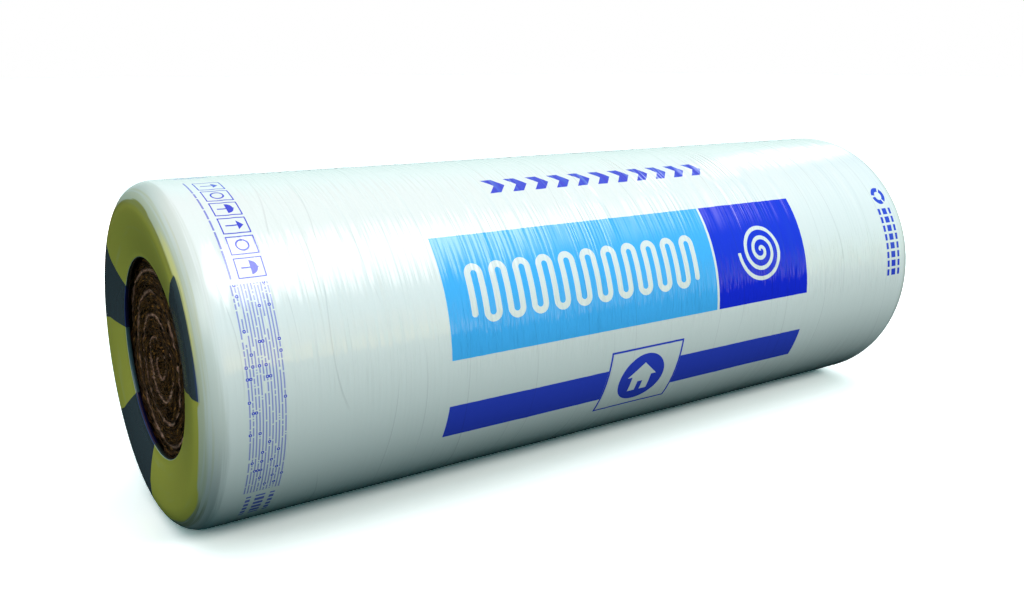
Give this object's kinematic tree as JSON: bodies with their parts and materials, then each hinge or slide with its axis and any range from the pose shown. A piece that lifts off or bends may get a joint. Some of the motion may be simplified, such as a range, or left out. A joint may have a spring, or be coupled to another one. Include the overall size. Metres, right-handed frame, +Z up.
{
  "type": "insulation roll",
  "caption": "Compressed roll of glass wool insulation in a shrunk plastic film sleeve, with a round opening in each end face that shows the wound turns.",
  "frame": {"origin": "on the floor, under the middle of the roll", "axes": "+X along the roll's axis, +Z up, -Y towards the side that carries the large printed panels"},
  "size_m": [1.2, 0.417, 0.4169],
  "materials": {
    "wool": "matte, loose glass fibres in a brown binder",
    "film": "glossy white polyethylene film, printed blue"
  },
  "bodies": {
    "root": {"wool_roll": "wool", "film_sleeve": "film"}
  },
  "joints": []
}
